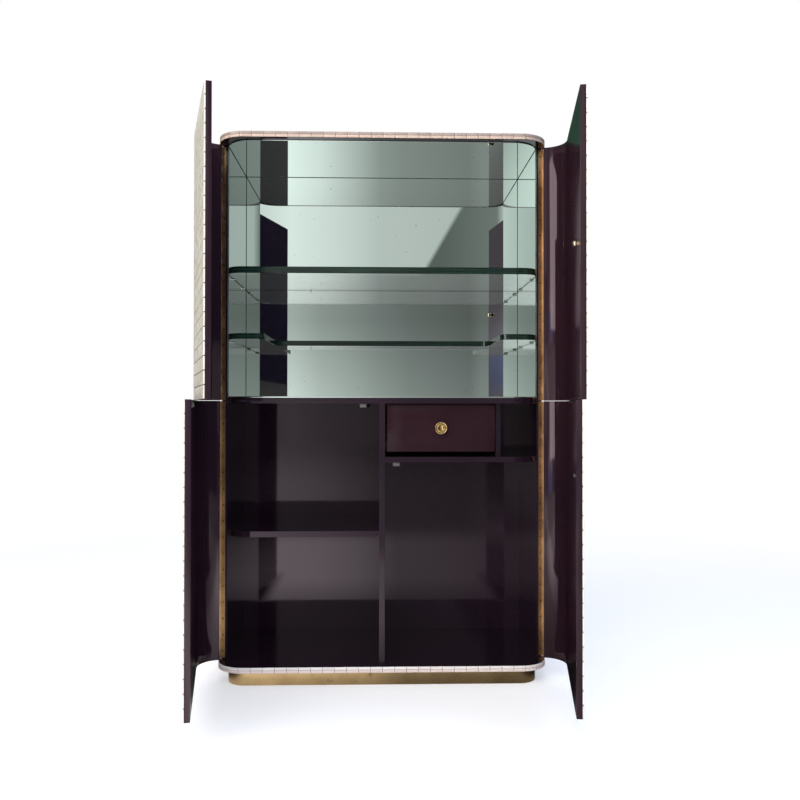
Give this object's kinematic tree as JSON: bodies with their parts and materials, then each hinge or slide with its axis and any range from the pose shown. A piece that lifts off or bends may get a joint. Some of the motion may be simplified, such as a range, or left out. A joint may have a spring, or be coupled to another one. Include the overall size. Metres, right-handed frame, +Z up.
{
  "type": "bar cabinet",
  "caption": "Free-standing bar cabinet with rounded front corners, piano-hinged wrap-round doors, a mirrored bar with glass shelves above, and a divided lower room with a drawer.",
  "frame": {"origin": "on the floor under the middle of the cabinet's plan, on the underside of the plinth's centre rail", "axes": "+Z up, +Y towards the wall behind the cabinet, so the doors face -Y; +X to the right seen from the front"},
  "size_m": [1.1388, 0.8436, 1.655],
  "materials": {
    "aubergine_lacquer": "high-gloss dark aubergine lacquer",
    "shell_mosaic": "cream shell mosaic in level rows with sunk dark joints",
    "edge_mosaic": "pinkish cream mosaic strip with fine upright joints",
    "mirror": "silvered glass with a grey-green tint",
    "shelf_glass": "clear float glass with dark green polished edges",
    "plinth_brass": "satin aged brass sheet",
    "hinge_brass": "rolled brass",
    "knob_brass": "turned polished brass",
    "catch_steel": "nickel-plated steel",
    "drawer_wood": "dark stained hardwood",
    "plinth_wood": "plain softwood"
  },
  "bodies": {
    "carcass": {"plinth_frame": "plinth_wood", "plinth_skirt": "plinth_brass", "bottom_panel": "aubergine_lacquer", "bottom_edge_band": "edge_mosaic", "top_panel": "aubergine_lacquer", "top_edge_band": "edge_mosaic", "top_skin": "shell_mosaic", "left_side_panel": "aubergine_lacquer", "left_side_skin": "shell_mosaic", "right_side_panel": "aubergine_lacquer", "right_side_skin": "shell_mosaic", "back_panel": "aubergine_lacquer", "middle_panel": "aubergine_lacquer", "lower_divider": "aubergine_lacquer", "lower_shelf": "aubergine_lacquer", "drawer_shelf": "aubergine_lacquer", "drawer_cheek": "aubergine_lacquer", "back_mirror": "mirror", "left_mirror": "mirror", "right_mirror": "mirror", "ceiling_mirror": "mirror", "floor_mirror": "mirror", "upper_glass_shelf": "shelf_glass", "lower_glass_shelf": "shelf_glass", "glass_shelf_pins": "hinge_brass", "drawer_runners": "catch_steel", "upper_left_carcass_leaf": "hinge_brass", "upper_right_carcass_leaf": "hinge_brass", "lower_left_carcass_leaf": "hinge_brass", "lower_right_carcass_leaf": "hinge_brass", "hinge_pins": "hinge_brass", "carcass_hinge_screws": "hinge_brass", "door_catches": "catch_steel"},
    "drawer": {"drawer_slides": "catch_steel", "drawer_front": "aubergine_lacquer", "drawer_sides": "drawer_wood", "drawer_back": "drawer_wood", "drawer_bottom": "drawer_wood", "drawer_knob": "knob_brass"},
    "upper_left_door": {"upper_left_door_core": "aubergine_lacquer", "upper_left_door_skin": "shell_mosaic", "upper_left_door_leaf": "hinge_brass", "upper_left_door_screws": "hinge_brass"},
    "upper_right_door": {"upper_right_door_core": "aubergine_lacquer", "upper_right_door_skin": "shell_mosaic", "upper_right_door_leaf": "hinge_brass", "upper_right_door_screws": "hinge_brass", "upper_right_door_stud": "knob_brass"},
    "lower_left_door": {"lower_left_door_core": "aubergine_lacquer", "lower_left_door_skin": "shell_mosaic", "lower_left_door_leaf": "hinge_brass", "lower_left_door_screws": "hinge_brass", "lower_left_door_stud": "catch_steel"},
    "lower_right_door": {"lower_right_door_core": "aubergine_lacquer", "lower_right_door_skin": "shell_mosaic", "lower_right_door_leaf": "hinge_brass", "lower_right_door_screws": "hinge_brass", "lower_right_door_stud": "catch_steel"}
  },
  "joints": [
    {"name": "upper_left_hinge", "type": "hinge", "parent": "carcass", "child": "upper_left_door", "pos_m": [-0.4977, -0.125, 1.24513], "axis": [0, 0, -1], "range_deg": [-73.8, 91.2]},
    {"name": "upper_right_hinge", "type": "hinge", "parent": "carcass", "child": "upper_right_door", "pos_m": [0.4977, -0.125, 1.24513], "axis": [0, 0, 1], "range_deg": [-81, 84]},
    {"name": "lower_left_hinge", "type": "hinge", "parent": "carcass", "child": "lower_left_door", "pos_m": [-0.4977, -0.125, 0.45887], "axis": [0, 0, -1], "range_deg": [-79.2, 85.8]},
    {"name": "lower_right_hinge", "type": "hinge", "parent": "carcass", "child": "lower_right_door", "pos_m": [0.4977, -0.125, 0.45887], "axis": [0, 0, 1], "range_deg": [-79.8, 85.2]},
    {"name": "drawer_slide", "type": "slide", "parent": "carcass", "child": "drawer", "axis": [0, -1, 0], "range_m": [0, 0.25]}
  ]
}
